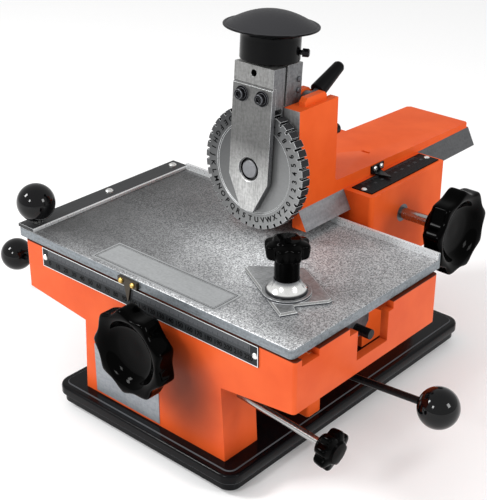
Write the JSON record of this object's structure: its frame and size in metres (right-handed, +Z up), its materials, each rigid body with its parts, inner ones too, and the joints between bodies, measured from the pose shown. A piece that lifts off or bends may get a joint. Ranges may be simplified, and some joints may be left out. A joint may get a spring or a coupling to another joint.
{
  "type": "nameplate marking machine",
  "caption": "Hand cranked bench machine that presses characters from a lettered dial into metal nameplates, with a sliding table, a sliding ram and scalloped handwheels.",
  "frame": {"origin": "on the floor, under the middle of the overall box", "axes": "+X to the right along the front, +Y to the back along the ram, +Z up"},
  "size_m": [0.5332, 0.4326, 0.3334],
  "materials": {
    "orange_paint": "stoved orange enamel on iron",
    "black_enamel": "gloss black enamel",
    "table_grey": "mottled grey hammer enamel on the milled plate",
    "machined_steel": "ground and brushed",
    "bright_screws": "bright plated",
    "black_oxide": "black oxide",
    "black_knobs": "gloss phenolic",
    "black_rubber": "moulded",
    "brass": "satin",
    "ruler_black": "printed metal strip",
    "blank_plate": "satin sheet, left blank",
    "dial_steel": "turned, hard",
    "gear_steel": "cut teeth, oiled",
    "hat_grey": "satin dark grey"
  },
  "bodies": {
    "stand": {"base_plate": "black_enamel", "base_feet": "black_rubber", "body_casting": "orange_paint", "shaft_bushes": "machined_steel", "guide_blocks": "machined_steel", "slide_strips": "machined_steel", "front_ruler": "ruler_black", "back_ruler": "ruler_black", "ruler_rivets": "bright_screws", "pedestal_tag": "blank_plate", "release_stand": "orange_paint", "release_pin": "machined_steel", "release_posts": "orange_paint"},
    "table": {"work_table": "table_grey", "stop_bar": "table_grey", "stop_bar_screws": "bright_screws", "table_tag": "blank_plate", "table_pointer": "brass", "table_pointer_screws": "bright_screws", "table_rack": "gear_steel", "table_rod": "black_oxide", "table_hangers": "machined_steel", "carriage_ball": "black_knobs", "carriage_stud": "machined_steel", "clamp_stud": "machined_steel"},
    "clamp": {"clamp_plate": "table_grey"},
    "clamp_grip": {"clamp_ferrule": "machined_steel", "clamp_knob": "black_knobs"},
    "front_wheel": {"front_handwheel": "black_knobs", "front_shaft": "machined_steel", "front_gear": "gear_steel"},
    "side_wheel": {"side_handwheel": "black_knobs", "side_shaft": "machined_steel", "side_pinion": "gear_steel"},
    "ram": {"ram_casting": "orange_paint", "ram_rack": "gear_steel", "ram_pointer": "black_oxide", "ram_pointer_screws": "bright_screws", "head_pin": "machined_steel", "lock_screw": "black_oxide"},
    "head": {"head_block": "machined_steel", "front_plate": "machined_steel", "plate_screws": "bright_screws", "head_screws": "bright_screws"},
    "dial": {"character_dial": "dial_steel", "dial_axle": "machined_steel", "dial_gear": "gear_steel"},
    "hat": {"hat_knob": "hat_grey", "hat_spindle": "machined_steel", "spindle_gear": "gear_steel", "hat_screw": "black_oxide"},
    "lever": {"press_lever": "machined_steel", "lever_grip": "black_rubber", "cam_shaft": "machined_steel"},
    "spacing": {"spacing_rod": "machined_steel", "spacing_knob": "black_knobs"},
    "release": {"release_rod": "black_oxide", "release_hub": "machined_steel", "release_balls": "black_knobs"}
  },
  "joints": [
    {"name": "table_slide", "type": "slide", "parent": "stand", "child": "table", "axis": [1, 0, 0], "range_m": [-0.08, 0.08]},
    {"name": "front_wheel_turn", "type": "hinge", "parent": "stand", "child": "front_wheel", "pos_m": [0.05393, -0.18175, 0.1055], "axis": [0, 1, 0], "range_deg": [-153, 153]},
    {"name": "ram_slide", "type": "slide", "parent": "stand", "child": "ram", "axis": [0, 1, 0], "range_m": [-0.034, 0.046]},
    {"name": "side_wheel_turn", "type": "hinge", "parent": "stand", "child": "side_wheel", "pos_m": [0.04394, 0.06525, 0.144], "axis": [1, 0, 0], "range_deg": [-207, 153]},
    {"name": "head_rock", "type": "hinge", "parent": "ram", "child": "head", "pos_m": [0.04394, -0.00975, 0.192], "axis": [1, 0, 0], "range_deg": [0, 4.05]},
    {"name": "lever_pull", "type": "hinge", "parent": "ram", "child": "lever", "pos_m": [0.04394, -0.01175, 0.2575], "axis": [1, 0, 0], "range_deg": [-35.1, 0]},
    {"name": "dial_turn", "type": "hinge", "parent": "head", "child": "dial", "pos_m": [0.04394, -0.0594, 0.2072], "axis": [0, 0.9975, -0.0706], "continuous": true},
    {"name": "hat_turn", "type": "hinge", "parent": "head", "child": "hat", "pos_m": [0.04394, -0.04583, 0.20624], "axis": [0, 0.0706, 0.9975], "continuous": true},
    {"name": "clamp_swing", "type": "hinge", "parent": "table", "child": "clamp", "pos_m": [0.13443, -0.12375, 0.1505], "axis": [0, 0, 1], "range_deg": [-30, 30]},
    {"name": "clamp_grip_turn", "type": "hinge", "parent": "table", "child": "clamp_grip", "pos_m": [0.13443, -0.12375, 0.175], "axis": [0, 0, 1], "range_deg": [-90, 90]},
    {"name": "spacing_turn", "type": "hinge", "parent": "stand", "child": "spacing", "pos_m": [0.21083, -0.16175, 0.0655], "axis": [0.996, 0, -0.0889], "range_deg": [-180, 180]},
    {"name": "release_swing", "type": "hinge", "parent": "stand", "child": "release", "pos_m": [0.04394, -0.08525, 0.0533], "axis": [0, 1, 0], "range_deg": [0, 9.6]}
  ],
  "couplings": [
    {"joint": "front_wheel_turn", "follows": "table_slide", "rad_per_m": 33.333},
    {"joint": "side_wheel_turn", "follows": "ram_slide", "rad_per_m": -78.431},
    {"joint": "lever_pull", "follows": "head_rock", "ratio": -8.642},
    {"joint": "hat_turn", "follows": "dial_turn", "ratio": -1}
  ]
}
